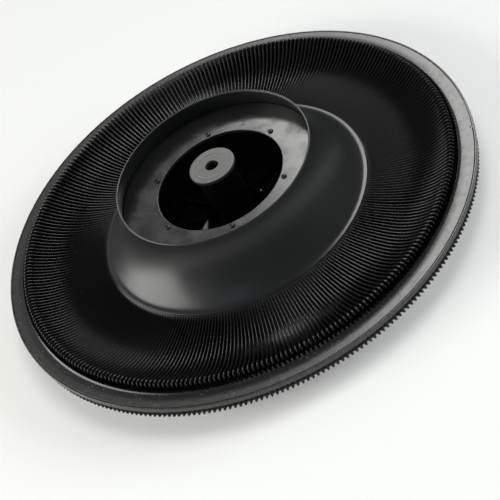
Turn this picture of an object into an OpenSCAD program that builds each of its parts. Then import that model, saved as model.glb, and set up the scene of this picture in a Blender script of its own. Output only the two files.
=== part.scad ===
// Carousel of a disc changer: a ring of slots that discs stand in, turning on a centre bearing.
// Z is the axis it turns on, and the bearing base rests on z = 0.

/* [Discs and slots] */
// Diameter of the discs that stand in the slots
disc_d = 120; // [118:0.5:122]
// Gap between a disc's edge and the floor of its slot
disc_clear = 0.6; // [0.4:0.1:1]
// Width of a slot
slot_w = 1.5; // [1.3:0.05:1.6]
// Slots in each sector of the ring
slots_per_sector = 50; // [30:1:52]
// Sectors in the ring
sector_count = 6; // [4:1:6]
// Depth of the slot floor below the bell's foot, at its lowest
floor_depth = 10.1; // [9:0.1:11]
// Thickness of the floor under the slots
floor_t = 2; // [1.6:0.1:2.4]

/* [Dividers] */
// Width of the divider ring, from the bell's foot to its outer wall
ring_w = 68.6; // [68:0.1:70]
// Distance from the bell's foot to the lowest point of the dividers' tops
valley_run = 29.8; // [27:0.1:32]
// Depth of that lowest point below the bell's foot
valley_depth = 3.3; // [2.5:0.1:4]
// Radius of the dividers' tops on the outer side of the valley
valley_r = 62; // [58:0.5:66]
// Height of the dividers' outer ears above the bell's foot
ear_h = 6.6; // [5:0.1:8]
// Radius of the ears' rounded tops
ear_round = 8; // [7:0.1:9]
// Distance from the highest point of the ears to the ring's outer wall
ear_run = 4.3; // [4:0.1:5.5]
// Ribs under each sector
ribs_per_sector = 6; // [3:1:10]
// Depth of those ribs below the bell's foot
rib_depth = 14; // [13:0.5:16]

/* [Bell] */
// Radius of the bell's foot
foot_r = 106.7; // [105:0.1:110]
// Height of that foot above the rim's top face
foot_rise = 1.7; // [0.5:0.1:2.5]
// Height of the collar's rim above the bell's foot
collar_h = 45.2; // [42:0.1:48]
// Gap between the bell's flank and a disc's edge
flank_clear = 2.2; // [1.8:0.1:3]
// Wall thickness of the bell
bell_t = 1.8; // [1.4:0.1:2.2]
// Thickness of the bell's rolled foot
foot_t = 1.4; // [1:0.1:1.8]

/* [Index ring] */
// Radius of the hole in the index ring
well_r = 50.4; // [46:0.1:52]
// Height of the index ring's top face above the bell's foot
index_h = 29.4; // [27:0.1:33]
// Thickness of the index ring
index_t = 2.5; // [2:0.1:3]
// Distance of the ring's screws from the edge of its hole
index_screw_in = 4; // [3.5:0.1:6]
// Length of the pointer on the ring
pointer_l = 10; // [6:0.5:14]
// Width of the pointer at its root
pointer_w = 5.6; // [4:0.1:8]

/* [Rim] */
// Gap between the ring's outer wall and the bead of the rim
bead_gap = 0.6; // [0.4:0.1:1.2]
// Width of the rim's flat ring
flange_w = 12.6; // [11:0.1:14]
// Thickness of the flat ring
flange_t = 2.5; // [2:0.1:3]
// Radius of the bead on its inner edge
bead_r = 1.2; // [0.8:0.1:1.6]
// Height of the bead above the flat ring
bead_h = 1.3; // [1.2:0.1:2.2]
// Width of the slope that leads up to the bead
slope_w = 4.5; // [3:0.1:6]
// Groove between the flat ring and the gear ring's lip
groove_w = 0.5; // [0.3:0.1:0.8]
// Width of the gear ring's lip
lip_w = 1.1; // [0.9:0.1:2]
// Thickness of the lip
lip_t = 3.8; // [3:0.1:4.5]
// Height of the teeth
tooth_h = 2.8; // [2:0.1:3]
// Face width of the teeth
tooth_face = 7.1; // [5:0.1:8]
// How far the lip overhangs the teeth
lip_over = 1.1; // [0.5:0.1:2]
// Width of the key that sets the gear ring on the flange
key_w = 2.4; // [1.5:0.1:4]

/* [Centre post] */
// Radius of the post
post_r = 15.5; // [14:0.1:17]
// Height of the post cap's top face above the bell's foot
cap_h = 45; // [42:0.1:48]
// Radius of the post cap
cap_r = 18; // [17:0.1:22]
// Thickness of the post cap
cap_t = 3; // [2:0.1:4]
// Radius of the cap's bore, clear of the changer's spindle
cap_bore_r = 5.2; // [5.1:0.1:6]
// Radius of the post's foot
post_foot_r = 30; // [28:0.5:34]
// Thickness of the post's foot
post_foot_t = 3; // [2:0.1:4]

/* [Web plate] */
// Depth of the web plate's top face below the bell's foot
web_depth = 11.5; // [9:0.1:13]
// Thickness of the web plate
web_t = 2.5; // [2:0.1:3]
// Width of the seat that the sectors are screwed to
seat_w = 11; // [10:0.1:13]
// Ribs on the web plate
web_ribs = 12; // [6:6:18]
// Height of those ribs
web_rib_h = 5; // [3:0.5:7]
// Thickness of every rib
rib_t = 1.8; // [1.2:0.1:2.4]
// Radius of the pillars under the index ring
pillar_r = 4; // [3.5:0.1:5]

/* [Bearing] */
// Height of the rim's top face above what the base stands on
rim_h = 28.3; // [28:0.1:34]
// Radius of the spindle sleeve's bore
bore_r = 5; // [4:0.1:5]
// Wall thickness of the spindle sleeve
sleeve_t = 2; // [1.8:0.1:2.5]
// Running gap between the sleeve and its bushes
run_gap = 0.05; // [0.03:0.01:0.08]
// Wall thickness of the bushes
bush_t = 2; // [1.5:0.1:2.5]
// Length of each bush
bush_l = 12; // [8:0.5:16]
// Radius of the base
base_r = 42; // [38:0.5:50]
// Thickness of the base
base_t = 4; // [3:0.5:5]
// Radius of the pitch circle of the base's screw holes
base_pitch_r = 33; // [30:0.5:34]
// Radius of the base's screw holes
base_hole_r = 2.2; // [1.6:0.1:2.7]
// Thickness of the thrust washer
thrust_t = 1; // [0.8:0.1:1.5]
// End play of the carousel on its bearing
end_play = 0.25; // [0.1:0.05:0.4]

/* [Screws] */
// Shank radius of the screws
screw_r = 1.25; // [1:0.05:1.5]
// Head radius of the screws
head_r = 2.2; // [2:0.1:2.6]
// Head height of the screws
head_h = 1.3; // [1:0.1:1.6]
// Depth that the screws reach into their bosses
screw_grip = 7; // [5:0.5:9]
// Screws along each sector's inner edge
sector_screws_each = 3; // [2:1:4]
// Screws along each sector's outer edge
rim_screws_each = 2; // [1:1:3]

/* [Hidden] */

black = [0.06, 0.06, 0.065];
grey = [0.55, 0.55, 0.54];
steel = [0.70, 0.71, 0.72];
bronze = [0.60, 0.45, 0.28];

$fn = 96;
eps = 0.01;                       // overlap that lets a cut pass its face
sector_a = 360 / sector_count;
slot_count = slots_per_sector * sector_count;
pitch_a = 360 / slot_count;
first_seam_a = 20.4;              // angle of the first joint between sectors

// The circle of a slot's floor: it meets the plane of the bell's foot at that foot
foot_z = rim_h + foot_rise;
slot_r = disc_d / 2 + disc_clear;
slot_z = foot_z + slot_r - floor_depth;
slot_x = foot_r + sqrt(slot_r * slot_r - (slot_z - foot_z) * (slot_z - foot_z));

// Divider ring
wall_r = foot_r + ring_w;
wall_t = 2;
valley_x = foot_r + valley_run;
valley_z = foot_z - valley_depth;
inner_valley_r = (valley_run * valley_run + valley_depth * valley_depth) / (2 * valley_depth);
ear_x = wall_r - ear_run;
ear_z = foot_z + ear_h;
foot_gap = 0.3;                   // between the bell's foot and the dividers
inner_lip_w = 11;                 // the sectors' screwed inner edge, under the bell
inner_lip_t = 3;
lip_root = 3.8;                   // how far that edge runs on into the floor
inner_r = foot_r - inner_lip_w;
lip_top_z = foot_z - foot_t + 0.4; // the bell's rolled foot stands 0.4 above its plane
lip_low_z = lip_top_z - inner_lip_t;

// Rim
flange_in_r = wall_r + bead_gap;
flange_r = flange_in_r + flange_w;
flange_low_z = rim_h - flange_t;
tongue_t = 2.5;                   // the sectors' outer edge, under the flange
tongue_low_z = flange_low_z - tongue_t;
lip_in_r = flange_r + groove_w;
lip_r = lip_in_r + lip_w;
tip_r = lip_r - lip_over;
root_r = tip_r - tooth_h;
gear_wall = 2;                    // wall of the gear ring inside its teeth
seat_gap = 0.2;                   // round a piece that drops into its seat
tongue_r = root_r - gear_wall - seat_gap;
gear_low_z = rim_h - lip_t - tooth_face;
gear_plate_t = 3;                 // plate of the gear ring, under the tongues
gear_plate_z = tongue_low_z - gear_plate_t;
gear_in_r = flange_in_r + 0.4;
key_a = 163;                      // angle of the key
key_in = 1.6;                     // how far its notch cuts into the flange
rim_screw_r = (gear_in_r + tongue_r) / 2;
rim_screw_bite = flange_t * 0.7;  // how deep a rim screw goes into the flange

// Bell: its flank follows the discs' edges
flank_r = disc_d / 2 + flank_clear;
collar_z = foot_z + collar_h;
index_z = foot_z + index_h;
index_low_z = index_z - index_t;
index_gap = 0.5;                  // between the index ring and the collar's wall
ledge_w = 5;
ledge_t = 2;
index_r = inner_flank_x(index_z) - index_gap;
index_screw_r = well_r + index_screw_in;
pointer_a = 56.5;                 // angle of the pointer

// Web plate
web_top_z = foot_z - web_depth;
web_low_z = web_top_z - web_t;
seat_r = foot_r - 2.7;
seat_in_r = seat_r - seat_w;
seat_t = 2.5;
sector_screw_r = inner_r + head_r + 0.4;

// Bearing
sleeve_r = bore_r + sleeve_t;
bush_in_r = sleeve_r + run_gap;
bush_r = bush_in_r + bush_t;
thrust_low_z = base_t + 4.5;
hub_low_z = thrust_low_z + thrust_t + end_play;
hub_r = 18;
cap_z = foot_z + cap_h;
cap_low_z = cap_z - cap_t;
spigot_h = 2;
ring_t = 1;
shim_t = 0.5;
head_space = 1;                   // between the sleeve's end and the cap
sleeve_top_z = cap_low_z - spigot_h - head_space;
ring_low_z = sleeve_top_z - 1 - ring_t;
shim_low_z = ring_low_z - shim_t;
bush_top_z = shim_low_z - end_play;
seat_cut_r = bush_r + 2;          // the space over the upper bush
post_screw_r = (post_r + post_foot_r) / 2 + 0.5;

// Distance from the axis of the bell's inner face at height z
function inner_flank_x(z) =
    slot_x - sqrt(pow(flank_r + bell_t, 2) - pow(slot_z - z, 2));

module ring(r_out, r_in, low_z, top_z) {
    translate([0, 0, low_z]) difference() {
        cylinder(r = r_out, h = top_z - low_z);
        translate([0, 0, -1]) cylinder(r = r_in, h = top_z - low_z + 2);
    }
}

module box2(x0, z0, x1, z1) {
    translate([x0, z0]) square([x1 - x0, z1 - z0]);
}

// Puts children at count places round a sector or a circle
module around(count, first_a, step_a, r) {
    for (k = [0:count - 1])
        rotate([0, 0, first_a + k * step_a]) translate([r, 0, 0]) children();
}

// A pan-head screw along +Z: the head's underside is at z = 0 and the shank goes down
module screw(shank_l) {
    translate([0, 0, -shank_l]) cylinder(r = screw_r, h = shank_l, $fn = 24);
    difference() {
        cylinder(r1 = head_r, r2 = head_r * 0.72, h = head_h, $fn = 32);
        for (a = [0, 90]) rotate([0, 0, a])
            translate([-head_r * 0.5, -0.3, head_h * 0.4]) cube([head_r, 0.6, head_h]);
    }
}

// ---- Divider ring ----

// What lies above the dividers' tops
module valley2() {
    intersection() {
        translate([valley_x, valley_z + valley_r]) circle(r = valley_r);
        box2(valley_x, foot_z - 20, wall_r + 20, slot_z);
    }
    intersection() {
        translate([valley_x, valley_z + inner_valley_r]) circle(r = inner_valley_r, $fn = 128);
        box2(inner_r - 10, foot_z - 20, valley_x, slot_z);
    }
}

module sector_profile2() {
    difference() {
        union() {
            intersection() {
                translate([slot_x, slot_z]) circle(r = slot_r + floor_t);
                box2(foot_r + foot_gap, foot_z - 20, wall_r, ear_z);
            }
            box2(wall_r - wall_t, tongue_low_z, wall_r, foot_z);
        }
        valley2();
        difference() {
            box2(ear_x, ear_z - ear_round, wall_r + 1, ear_z + 1);
            translate([ear_x, ear_z - ear_round]) circle(r = ear_round);
        }
    }
    box2(inner_r, lip_low_z, foot_r + lip_root, lip_top_z);
    box2(wall_r - wall_t, tongue_low_z, tongue_r, flange_low_z);
}

// A rib's outline: from the ribs' lower edge up into the floor
module sector_rib2() {
    difference() {
        box2(foot_r, foot_z - rib_depth, wall_r - wall_t / 2, lip_low_z + inner_lip_t / 2);
        translate([slot_x, slot_z]) circle(r = slot_r + floor_t / 2);
    }
}

// A slot: the outline of a disc's lower edge, as wide as the slot
module slot_cut() {
    rotate([90, 0, 0]) linear_extrude(slot_w, center = true) intersection() {
        translate([slot_x, slot_z]) circle(r = slot_r, $fn = 128);
        box2(foot_r, foot_z - 20, wall_r + 5, ear_z + 3);
    }
}

module slot_sector(i) {
    start_a = first_seam_a + i * sector_a;
    rib_a = sector_a / ribs_per_sector;
    color(black) difference() {
        union() {
            rotate([0, 0, start_a]) rotate_extrude(angle = sector_a) sector_profile2();
            for (k = [0:ribs_per_sector - 1])
                rotate([0, 0, start_a + (k + 0.5) * rib_a]) rotate([90, 0, 0])
                    linear_extrude(rib_t, center = true) sector_rib2();
        }
        for (k = [0:slots_per_sector])
            rotate([0, 0, start_a + k * pitch_a]) slot_cut();
        around(sector_screws_each, start_a + sector_a / sector_screws_each / 2,
               sector_a / sector_screws_each, sector_screw_r)
            translate([0, 0, lip_low_z - 1]) cylinder(r = screw_r + 0.15, h = inner_lip_t + 2, $fn = 24);
        around(rim_screws_each, start_a + sector_a / rim_screws_each / 2,
               sector_a / rim_screws_each, rim_screw_r)
            translate([0, 0, tongue_low_z - 1]) cylinder(r = screw_r + 0.15, h = tongue_t + 2, $fn = 24);
    }
}

// ---- Rim ----

module rim_flange() {
    bead_x = flange_in_r + bead_r;
    color(black) difference() {
        rotate_extrude($fn = 256) {
            box2(flange_in_r, flange_low_z, flange_r, rim_h);
            box2(flange_in_r, flange_low_z, bead_x + bead_r, rim_h + bead_h - bead_r);
            polygon([[bead_x, flange_low_z + 1], [bead_x + bead_r + slope_w, rim_h - 0.1],
                     [bead_x, rim_h + bead_h - 0.2]]);
            translate([bead_x, rim_h + bead_h - bead_r]) circle(r = bead_r, $fn = 32);
        }
        // notch for the key
        rotate([0, 0, key_a]) translate([flange_r - key_in, -key_w / 2, flange_low_z - 1])
            cube([10, key_w, flange_t + 2]);
        around(rim_screws_each * sector_count, first_seam_a + sector_a / rim_screws_each / 2,
               sector_a / rim_screws_each, rim_screw_r)
            translate([0, 0, flange_low_z - 1]) cylinder(r = screw_r, h = 1 + rim_screw_bite, $fn = 24);
    }
}

// The drive teeth: flat flanks and flat tips, as many as there are slots
module teeth2() {
    polygon([for (k = [0:slot_count - 1], c = [[-0.36, 0], [-0.11, 1], [0.11, 1], [0.36, 0]])
        let (a = (k + c[0]) * pitch_a + first_seam_a, r = root_r + c[1] * tooth_h)
        [r * cos(a), r * sin(a)]]);
}

module gear_ring() {
    lip_round = 0.7;
    color(black) difference() {
        union() {
            rotate_extrude($fn = 256) {
                box2(gear_in_r, gear_plate_z, root_r - gear_wall / 2, tongue_low_z);
                box2(root_r - gear_wall, tongue_low_z - eps, root_r - gear_wall / 2, flange_low_z);
                box2(root_r - gear_wall, rim_h - lip_t, lip_in_r + eps, flange_low_z);
                box2(lip_in_r, rim_h - lip_t, lip_r, rim_h - lip_round);
                box2(lip_in_r, rim_h - lip_round - eps, lip_r - lip_round, rim_h);
                translate([lip_r - lip_round, rim_h - lip_round]) circle(r = lip_round, $fn = 32);
            }
            translate([0, 0, gear_low_z]) linear_extrude(tooth_face + eps) difference() {
                teeth2();
                circle(r = root_r - gear_wall, $fn = 256);
            }
            // the key that fills the flange's notch
            rotate([0, 0, key_a]) translate([flange_r - key_in + seat_gap, -key_w / 2 + seat_gap, flange_low_z - eps])
                cube([key_in + groove_w, key_w - 2 * seat_gap, flange_t - 0.3]);
        }
        around(rim_screws_each * sector_count, first_seam_a + sector_a / rim_screws_each / 2,
               sector_a / rim_screws_each, rim_screw_r) {
            translate([0, 0, gear_plate_z - 1])
                cylinder(r = screw_r + 0.15, h = gear_plate_t + 2, $fn = 24);
            translate([0, 0, gear_plate_z - 1]) cylinder(r = head_r + 0.3, h = 1 + head_h, $fn = 32);
        }
    }
}

// ---- Bell, collar and index ring ----

// The flank between two heights: children are cut from the outer circle
module flank2(r, low_z, top_z, reach) {
    difference() {
        box2(slot_x - r - reach, low_z, slot_x, top_z);
        translate([slot_x, slot_z]) circle(r = r, $fn = 128);
    }
}

module bell_cover() {
    foot_low_z = lip_top_z;
    roll_r = foot_t / 2;
    color(black) rotate_extrude($fn = 256) {
        // wall between the outer and the inner circle, with a rounded rim
        intersection() {
            flank2(flank_r, foot_low_z, collar_z - bell_t / 2, 60);
            translate([slot_x, slot_z]) circle(r = flank_r + bell_t, $fn = 128);
        }
        translate([inner_flank_x(collar_z - bell_t / 2) + bell_t / 2, collar_z - bell_t / 2])
            circle(r = bell_t / 2, $fn = 32);
        // rolled foot
        box2(inner_flank_x(foot_low_z), foot_low_z, foot_r - roll_r, foot_low_z + foot_t);
        translate([foot_r - roll_r, foot_low_z + roll_r]) circle(r = roll_r, $fn = 32);
        // ledge for the index ring
        intersection() {
            box2(index_r - ledge_w, index_low_z - ledge_t, slot_x, index_low_z);
            difference() {
                box2(0, index_low_z - ledge_t - 1, slot_x, index_low_z + 1);
                translate([slot_x, slot_z]) circle(r = flank_r + bell_t / 2, $fn = 128);
            }
        }
    }
}

module index_ring() {
    color(black) difference() {
        union() {
            ring(index_r, well_r, index_low_z, index_z);
            rotate([0, 0, pointer_a]) translate([0, 0, index_low_z]) linear_extrude(index_t)
                polygon([[well_r + 1, pointer_w / 2], [well_r - pointer_l, 0.3],
                         [well_r - pointer_l, -0.3], [well_r + 1, -pointer_w / 2]]);
        }
        around(sector_count, first_seam_a, sector_a, index_screw_r)
            translate([0, 0, index_low_z - 1]) cylinder(r = screw_r + 0.15, h = index_t + 2, $fn = 24);
    }
}

module index_ring_screws() {
    color(black) around(sector_count, first_seam_a, sector_a, index_screw_r)
        translate([0, 0, index_z]) screw(index_t + screw_grip);
}

// ---- Post and web plate ----

module centre_post() {
    color(black) difference() {
        union() {
            translate([0, 0, web_top_z]) cylinder(r = post_foot_r, h = post_foot_t);
            translate([0, 0, web_top_z]) cylinder(r = post_r, h = cap_low_z - web_top_z);
            // gussets between the post and its foot
            around(6, first_seam_a + 30, 60, 0) translate([0, 0, web_top_z]) rotate([90, 0, 0])
                linear_extrude(rib_t, center = true)
                polygon([[post_r - 1, 0], [post_foot_r - 1, 0], [post_foot_r - 1, post_foot_t],
                         [post_r + 1, post_foot_t + 22], [post_r - 1, post_foot_t + 22]]);
        }
        translate([0, 0, web_top_z - 1]) cylinder(r = bush_r, h = cap_low_z - web_top_z);
        translate([0, 0, bush_top_z]) cylinder(r = seat_cut_r, h = cap_low_z);
        around(6, first_seam_a, 60, post_screw_r)
            translate([0, 0, web_top_z - 1]) cylinder(r = screw_r + 0.15, h = post_foot_t + 2, $fn = 24);
    }
}

module post_cap() {
    color(grey) difference() {
        union() {
            translate([0, 0, cap_low_z]) cylinder(r = cap_r, h = cap_t - 0.6);
            translate([0, 0, cap_z - 0.6]) cylinder(r1 = cap_r, r2 = cap_r - 0.6, h = 0.6);
            translate([0, 0, cap_low_z - spigot_h]) cylinder(r = seat_cut_r - seat_gap / 2, h = spigot_h + eps);
        }
        translate([0, 0, cap_low_z - spigot_h - 1]) cylinder(r = cap_bore_r, h = cap_t + spigot_h + 2);
    }
}

module web_plate() {
    rib_in_r = post_foot_r + 1;
    color(black) difference() {
        union() {
            ring(seat_in_r + 2, hub_r - 2, web_low_z, web_top_z);
            ring(seat_in_r + 2, seat_in_r, web_low_z, lip_low_z);
            ring(seat_r, seat_in_r, lip_low_z - seat_t, lip_low_z);
            ring(hub_r, bush_r, hub_low_z, web_top_z);
            around(web_ribs, first_seam_a + 180 / web_ribs, 360 / web_ribs, 0)
                translate([rib_in_r, -rib_t / 2, web_low_z + eps])
                cube([seat_in_r + 1 - rib_in_r, rib_t, web_t + web_rib_h]);
            around(sector_count, first_seam_a, sector_a, index_screw_r)
                translate([0, 0, web_low_z + eps]) cylinder(r = pillar_r, h = index_low_z - web_low_z - eps);
        }
        around(sector_count, first_seam_a, sector_a, index_screw_r)
            translate([0, 0, index_low_z - screw_grip - 1]) cylinder(r = screw_r, h = screw_grip + 2, $fn = 24);
        around(6, first_seam_a, 60, post_screw_r)
            translate([0, 0, web_low_z - 1]) cylinder(r = screw_r, h = web_t + 2, $fn = 24);
        around(sector_screws_each * sector_count, first_seam_a + sector_a / sector_screws_each / 2,
               sector_a / sector_screws_each, sector_screw_r)
            translate([0, 0, lip_low_z - seat_t - 1]) cylinder(r = screw_r, h = seat_t + 2, $fn = 24);
    }
}

module post_screws() {
    color(steel) around(6, first_seam_a, 60, post_screw_r)
        translate([0, 0, web_top_z + post_foot_t]) screw(post_foot_t + web_t);
}

module sector_screws() {
    color(steel) around(sector_screws_each * sector_count,
                        first_seam_a + sector_a / sector_screws_each / 2,
                        sector_a / sector_screws_each, sector_screw_r)
        translate([0, 0, lip_top_z]) screw(inner_lip_t + seat_t);
}

module rim_screws() {
    seat_z = gear_plate_z + head_h;
    color(steel) around(rim_screws_each * sector_count, first_seam_a + sector_a / rim_screws_each / 2,
                        sector_a / rim_screws_each, rim_screw_r)
        translate([0, 0, seat_z]) mirror([0, 0, 1]) screw(flange_low_z + rim_screw_bite - seat_z);
}

module upper_bush() {
    color(bronze) ring(bush_r, bush_in_r, bush_top_z - bush_l, bush_top_z);
}

module lower_bush() {
    color(bronze) ring(bush_r, bush_in_r, hub_low_z, hub_low_z + bush_l);
}

// ---- Bearing, which stays still ----

module bearing_base() {
    color(grey) difference() {
        union() {
            cylinder(r = base_r, h = base_t - 0.8);
            translate([0, 0, base_t - 0.8]) cylinder(r1 = base_r, r2 = base_r - 0.8, h = 0.8);
            cylinder(r = hub_r - 3, h = thrust_low_z);
            around(3, 30, 120, 0) translate([hub_r - 4, -rib_t / 2, 0])
                cube([base_r - hub_r, rib_t, base_t + 2]);
        }
        translate([0, 0, -1]) cylinder(r = sleeve_r, h = thrust_low_z + 2);
        around(3, 90, 120, base_pitch_r)
            translate([0, 0, -1]) cylinder(r = base_hole_r, h = base_t + 2, $fn = 32);
    }
}

module spindle_sleeve() {
    color(steel) difference() {
        cylinder(r = sleeve_r, h = sleeve_top_z);
        translate([0, 0, -1]) cylinder(r = bore_r, h = sleeve_top_z + 2);
        ring(sleeve_r + 1, sleeve_r - 0.6, ring_low_z, ring_low_z + ring_t);
    }
}

module thrust_washer() {
    color(bronze) ring(hub_r - 3, sleeve_r + 0.1, thrust_low_z, thrust_low_z + thrust_t);
}

module shim_washer() {
    color(steel) ring(bush_r + 1, sleeve_r + 0.1, shim_low_z, shim_low_z + shim_t);
}

module retaining_ring() {
    color(steel) difference() {
        ring(sleeve_r + 2.2, sleeve_r - 0.5, ring_low_z, ring_low_z + ring_t);
        translate([0, -1.5, ring_low_z - 1]) cube([sleeve_r + 4, 3, ring_t + 2]);
    }
}

for (i = [0:sector_count - 1])
    slot_sector(i);
rim_flange();
gear_ring();
bell_cover();
index_ring();
index_ring_screws();
centre_post();
post_cap();
web_plate();
post_screws();
sector_screws();
rim_screws();
upper_bush();
lower_bush();
bearing_base();
spindle_sleeve();
thrust_washer();
shim_washer();
retaining_ring();
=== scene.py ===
import math

import bpy
import numpy as np
from mathutils import Matrix, Vector


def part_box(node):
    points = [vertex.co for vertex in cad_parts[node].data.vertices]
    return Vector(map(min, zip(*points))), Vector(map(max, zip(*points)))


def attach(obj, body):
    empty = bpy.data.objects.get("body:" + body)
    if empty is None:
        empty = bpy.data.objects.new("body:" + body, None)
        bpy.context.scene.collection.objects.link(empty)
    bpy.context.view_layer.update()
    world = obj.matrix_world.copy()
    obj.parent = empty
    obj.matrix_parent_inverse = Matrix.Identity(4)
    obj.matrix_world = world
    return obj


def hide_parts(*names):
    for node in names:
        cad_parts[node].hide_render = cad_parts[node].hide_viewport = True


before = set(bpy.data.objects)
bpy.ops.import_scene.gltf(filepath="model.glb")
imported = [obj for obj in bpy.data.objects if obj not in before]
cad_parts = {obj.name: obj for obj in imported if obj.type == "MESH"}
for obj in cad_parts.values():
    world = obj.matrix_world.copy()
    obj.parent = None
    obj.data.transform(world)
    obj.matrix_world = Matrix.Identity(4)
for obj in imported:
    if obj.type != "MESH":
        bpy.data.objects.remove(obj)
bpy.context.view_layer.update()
scene = bpy.context.scene
scene.view_settings.view_transform = "Standard"
mm = 0.001
turntable = "carousel"   # the body that turns
print("stage: frame loaded,", len(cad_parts), "nodes")


def reach(node):   # outer radius, lowest and highest z of a round node
    low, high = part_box(node)
    return max(high.x, -low.x), low.z, high.z


lipR, gearLowZ, rimZ = reach("gear_ring")
flangeR, flangeLowZ, beadTopZ = reach("rim_flange")
footR, footLowZ, collarZ = reach("bell_cover")
indexR, indexLowZ, indexZ = reach("index_ring")
capR, capLowZ, capZ = reach("post_cap")
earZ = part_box("slot_sector_1")[1].z
footZ = footLowZ + mm   # plane of the bell's foot, where the slots' floors begin

camera = {   # angles in degrees, the azimuth counted round from +X
    "aim": (0.0067, 0.0531, footZ), "azimuth": 90.58, "elevation": 41.37, "roll": -30.34,
    "distance": 1.4729, "lens": 144, "sensor": 36, "near": 0.05, "far": 30,
}


def stand(name, data, d):   # puts a camera or a lamp where its angles say, turned to its aim
    a, e = math.radians(d["azimuth"]), math.radians(d["elevation"])
    way = Vector((math.cos(a) * math.cos(e), math.sin(a) * math.cos(e), math.sin(e)))
    roll = Matrix.Rotation(math.radians(d.get("roll", 0)), 3, "Z")
    turn = way.to_track_quat("Z", "Y").to_matrix() @ roll
    place = Vector(d.get("aim", (0, 0, 0))) + way * d["distance"]
    thing = bpy.data.objects.new(name, data)
    scene.collection.objects.link(thing)
    thing.matrix_world = Matrix.Translation(place) @ turn.to_4x4()
    return thing


def makeCamera():
    d = camera
    data = bpy.data.cameras.new("camera")
    data.lens, data.sensor_width = d["lens"], d["sensor"]
    data.clip_start, data.clip_end = d["near"], d["far"]
    scene.camera = stand("camera", data, d)


makeCamera()


class Wire:   # a socket that takes part in Python sums
    def __init__(self, graph, socket):
        self.graph, self.socket = graph, socket

    def sum(self, operation, *values):
        return self.graph.node("ShaderNodeMath", {"operation": operation}, values)

    def __add__(self, other):
        return self.sum("ADD", self, other)

    def __radd__(self, other):
        return self.sum("ADD", other, self)

    def __sub__(self, other):
        return self.sum("SUBTRACT", self, other)

    def __rsub__(self, other):
        return self.sum("SUBTRACT", other, self)

    def __mul__(self, other):
        return self.sum("MULTIPLY", self, other)

    def __rmul__(self, other):
        return self.sum("MULTIPLY", other, self)

    def __truediv__(self, other):
        return self.sum("DIVIDE", self, other)

    def __rtruediv__(self, other):
        return self.sum("DIVIDE", other, self)

    def __pow__(self, other):
        return self.sum("POWER", self, other)

    def __rpow__(self, other):
        return self.sum("POWER", other, self)


class Graph:   # a node tree, and the one way to add a node to it
    def __init__(self, owner):
        owner.use_nodes = True
        self.tree = owner.node_tree
        self.tree.nodes.clear()

    def node(self, kind, settings=None, values=(), out=0):
        made = self.tree.nodes.new(kind)
        for key, value in (settings or {}).items():
            setattr(made, key, value)
        pairs = values.items() if isinstance(values, dict) else enumerate(values)
        for key, value in pairs:
            if isinstance(value, Wire):
                self.tree.links.new(value.socket, made.inputs[key])
            else:
                made.inputs[key].default_value = value
        return Wire(self, made.outputs[out]) if made.outputs else made

    def place(self):
        return self.node("ShaderNodeTexCoord", out="Object")

    def parts(self, vector):   # x, y and z of a vector
        x = self.node("ShaderNodeSeparateXYZ", {}, [vector])
        return [Wire(self, socket) for socket in x.socket.node.outputs]

    def polar(self, where):   # radius, and angle in radians
        x, y = self.parts(where)[:2]
        return (x * x + y * y) ** 0.5, x.sum("ARCTAN2", y, x)

    def noise(self, where, size, detail=2, rough=0.5):   # size is that of a feature, in metres
        sockets = {"Vector": where, "Scale": 1 / size, "Detail": detail, "Roughness": rough}
        return self.node("ShaderNodeTexNoise", {}, sockets)

    def step(self, value, low, high):   # 0 below low, 1 above high, smooth between
        sockets = {"Value": value, "From Min": low, "From Max": high}
        return self.node("ShaderNodeMapRange", {"interpolation_type": "SMOOTHSTEP"}, sockets)

    def mix(self, share, colourA, colourB):   # the colour sockets of a Mix node are 6, 7 and out 2
        sockets = {0: share, 6: colourA, 7: colourB}
        return self.node("ShaderNodeMix", {"data_type": "RGBA"}, sockets, out=2)

    def bump(self, height, depth):
        return self.node("ShaderNodeBump", {}, {"Height": height, "Distance": depth})

    def surface(self, sockets):
        shader = self.node("ShaderNodeBsdfPrincipled", {}, sockets)
        self.node("ShaderNodeOutputMaterial", {}, [shader])


def rgb(r, g, b):
    return (r, g, b, 1)


def newFinish(name):
    material = bpy.data.materials.new(name)
    graph = Graph(material)
    return material, graph, graph.place()


moulded = {   # what the moulded finishes share; from and to are levels of a noise
    "smearFrom": 0.42, "smearTo": 0.68, "smearRough": 0.6, "speckSpan": 0.04, "trackTurn": 0.8,
    "filmSpan": 3 * mm, "dustColour": rgb(0.30, 0.30, 0.29), "dustRoughness": 0.25,
}


def mouldedFinish(name, look):   # black plastic out of a mould, with grain, smears and dust
    d = moulded
    material, graph, where = newFinish(name)
    radius, angle = graph.polar(where)
    smear = graph.noise(where, look["smearSize"], detail=3, rough=d["smearRough"])
    patches = graph.step(smear, d["smearFrom"], d["smearTo"])
    grain = graph.noise(where, look["grain"])
    specks = graph.noise(where, look["speckSize"], detail=0)
    specks = graph.step(specks, look["speckFrom"], look["speckFrom"] + d["speckSpan"])
    bent = [radius * look["tracks"], angle * d["trackTurn"], 0]
    tracks = graph.noise(graph.node("ShaderNodeCombineXYZ", {}, bent), size=1)
    colour = look["colour"]
    if "filmFrom" in look:   # a thin film of dust on the open part, outside a radius
        film = graph.step(radius, look["filmFrom"], look["filmFrom"] + d["filmSpan"])
        colour = graph.mix(film, colour, look["film"])
    colour = graph.mix(specks * look["dust"], colour, d["dustColour"])
    rough = patches * look["smear"] + tracks * look["trackDepth"] + look["roughness"]
    graph.surface({
        "Base Color": colour,
        "Roughness": rough + specks * d["dustRoughness"],
        "IOR": look.get("ior", 1.5),
        "Normal": graph.bump(grain, look["grainDepth"]),
    })
    return material


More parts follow.
